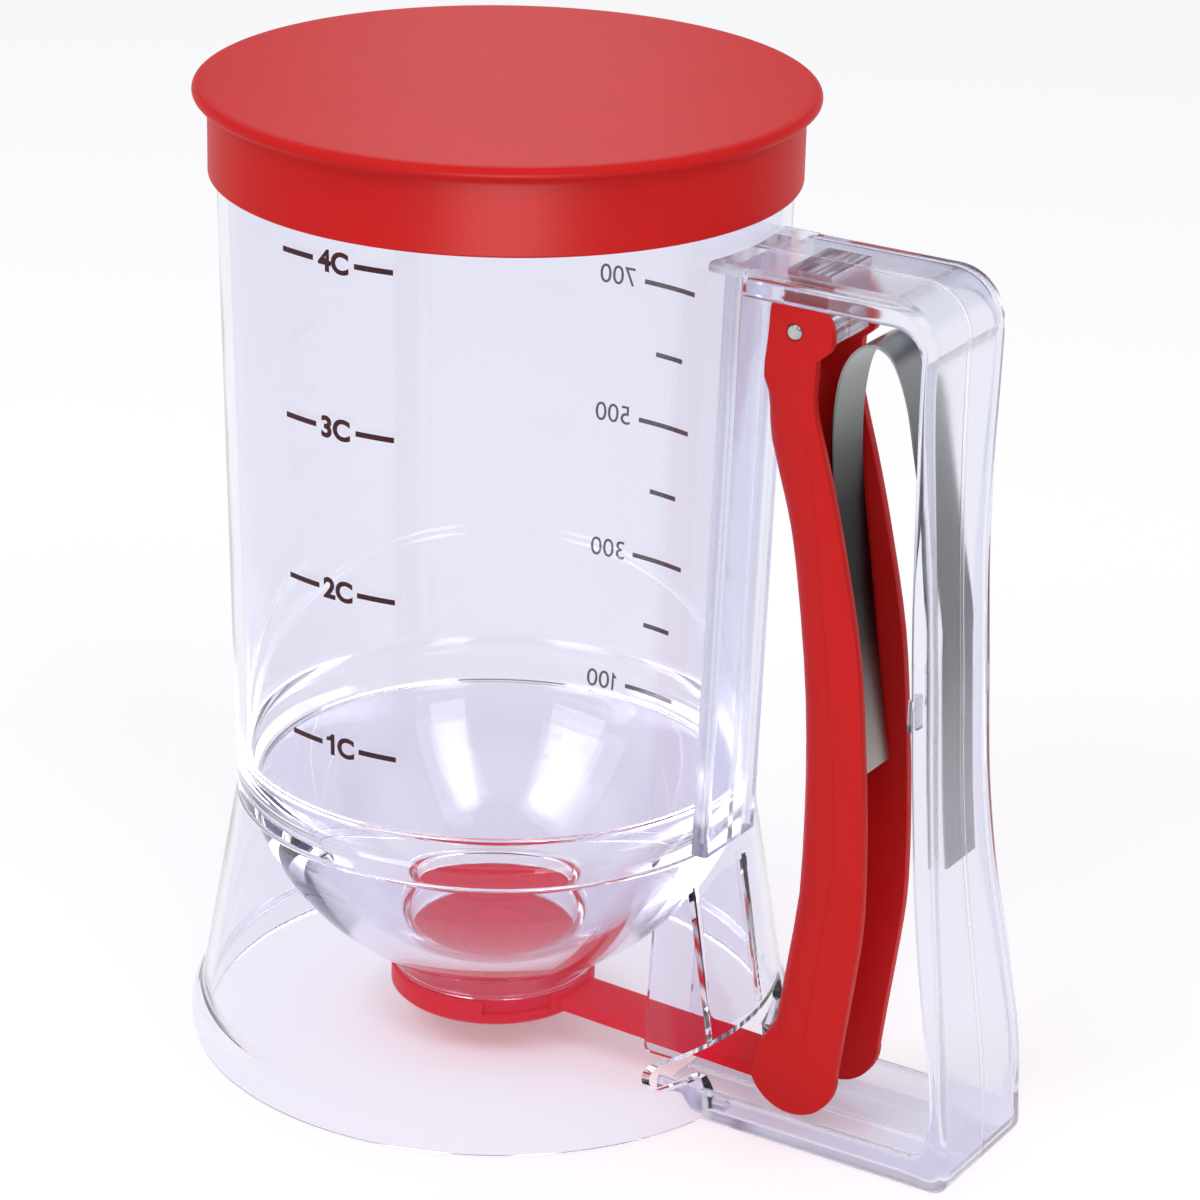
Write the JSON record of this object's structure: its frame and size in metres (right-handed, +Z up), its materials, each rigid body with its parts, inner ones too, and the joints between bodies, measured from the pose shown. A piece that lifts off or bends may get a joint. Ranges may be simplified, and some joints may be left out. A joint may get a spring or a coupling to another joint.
{
  "type": "batter dispenser",
  "caption": "Clear measuring cup on a flared base, with a push-on lid, a bottom valve and a sprung lever in a loop handle for pouring batter.",
  "frame": {"origin": "on the table, under the cup's axis", "axes": "+Z up along the cup's axis, +X towards the handle, Y = 0 is the handle's middle plane"},
  "size_m": [0.1651, 0.1168, 0.1863],
  "materials": {
    "clear_plastic": "clear, glossy",
    "lid_plastic": "satin",
    "trigger_plastic": "satin",
    "silicone": "matt",
    "steel": "bright rolled"
  },
  "bodies": {
    "dispenser": {"measuring_cup": "clear_plastic", "base_skirt": "clear_plastic", "handle_near_half": "clear_plastic", "handle_far_half": "clear_plastic", "pivot_pin": "steel", "leaf_spring": "steel"},
    "lever": {"trigger": "trigger_plastic", "valve_seal": "silicone"},
    "lid": {"lid": "lid_plastic"}
  },
  "joints": [
    {"name": "trigger_pivot", "type": "hinge", "parent": "dispenser", "child": "lever", "pos_m": [0.0654, 0, 0.1542], "axis": [0, -1, 0], "range_deg": [0, 5], "stiffness_Nm_per_rad": 1.5, "springref_deg": -5.73, "deforming": ["leaf_spring"]},
    {"name": "lid_lift", "type": "slide", "parent": "dispenser", "child": "lid", "axis": [0, 0, 1], "range_m": [0, 0.03]}
  ]
}
